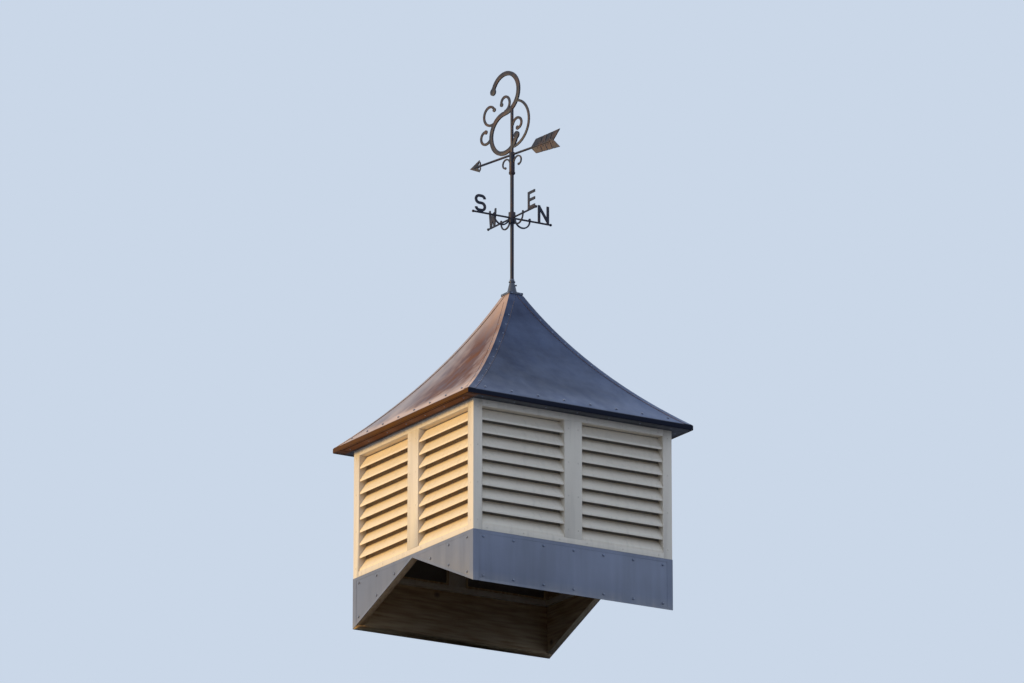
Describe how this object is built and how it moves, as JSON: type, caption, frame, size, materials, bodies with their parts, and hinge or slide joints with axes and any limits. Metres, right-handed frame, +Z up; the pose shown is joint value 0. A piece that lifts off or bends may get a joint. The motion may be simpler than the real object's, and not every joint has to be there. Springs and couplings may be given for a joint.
{
  "type": "louvred roof cupola with weathervane",
  "caption": "Square louvred cupola with a flared steel hip roof, a base notched to sit over a roof ridge, and a scrollwork weathervane that turns on a fixed rod.",
  "frame": {"origin": "under the middle of the base, level with its lowest edges", "axes": "+X along the ridge it stands over, -Y towards the front eave side, +Z up the weathervane's rod"},
  "size_m": [1.383, 1.383, 3.0443],
  "materials": {
    "painted_steel": "slate blue-grey factory paint on folded sheet steel, semi-gloss",
    "cellular_pvc": "clay cream cellular PVC boards, satin",
    "sawn_lumber": "bare sawn framing lumber, inside only",
    "soffit_board": "dark slate soffit board, matt",
    "insect_mesh": "dull grey woven insect mesh",
    "black_iron": "black painted wrought iron with a faint bronze sheen, satin"
  },
  "bodies": {
    "root": {"base_board_front": "sawn_lumber", "base_board_back": "sawn_lumber", "base_board_left": "sawn_lumber", "base_board_right": "sawn_lumber", "base_cladding_front": "painted_steel", "base_cladding_back": "painted_steel", "base_cladding_left": "painted_steel", "base_cladding_right": "painted_steel", "corner_post_front_left": "cellular_pvc", "corner_post_front_right": "cellular_pvc", "corner_post_back_right": "cellular_pvc", "corner_post_back_left": "cellular_pvc", "mullion_front": "cellular_pvc", "mullion_right": "cellular_pvc", "mullion_back": "cellular_pvc", "mullion_left": "cellular_pvc", "bottom_rail_front": "cellular_pvc", "bottom_rail_right": "cellular_pvc", "bottom_rail_back": "cellular_pvc", "bottom_rail_left": "cellular_pvc", "head_rail_front": "cellular_pvc", "head_rail_right": "cellular_pvc", "head_rail_back": "cellular_pvc", "head_rail_left": "cellular_pvc", "louvres_front": "cellular_pvc", "louvres_right": "cellular_pvc", "louvres_back": "cellular_pvc", "louvres_left": "cellular_pvc", "insect_screens": "insect_mesh", "soffit_boards": "soffit_board", "roof_panel_front": "painted_steel", "roof_panel_right": "painted_steel", "roof_panel_back": "painted_steel", "roof_panel_left": "painted_steel", "hip_caps": "painted_steel", "hip_rafters": "sawn_lumber", "common_rafters": "sawn_lumber", "king_post": "sawn_lumber", "roof_cap": "painted_steel", "vane_rod": "black_iron", "compass_arms": "black_iron", "compass_letters": "black_iron"},
    "vane": {"vane_sleeve": "black_iron", "vane_arrow": "black_iron", "vane_scrollwork": "black_iron"}
  },
  "joints": [
    {"name": "vane_spin", "type": "hinge", "parent": "root", "child": "vane", "pos_m": [0, 0, 2.54996], "axis": [0, 0, 1], "continuous": true}
  ]
}
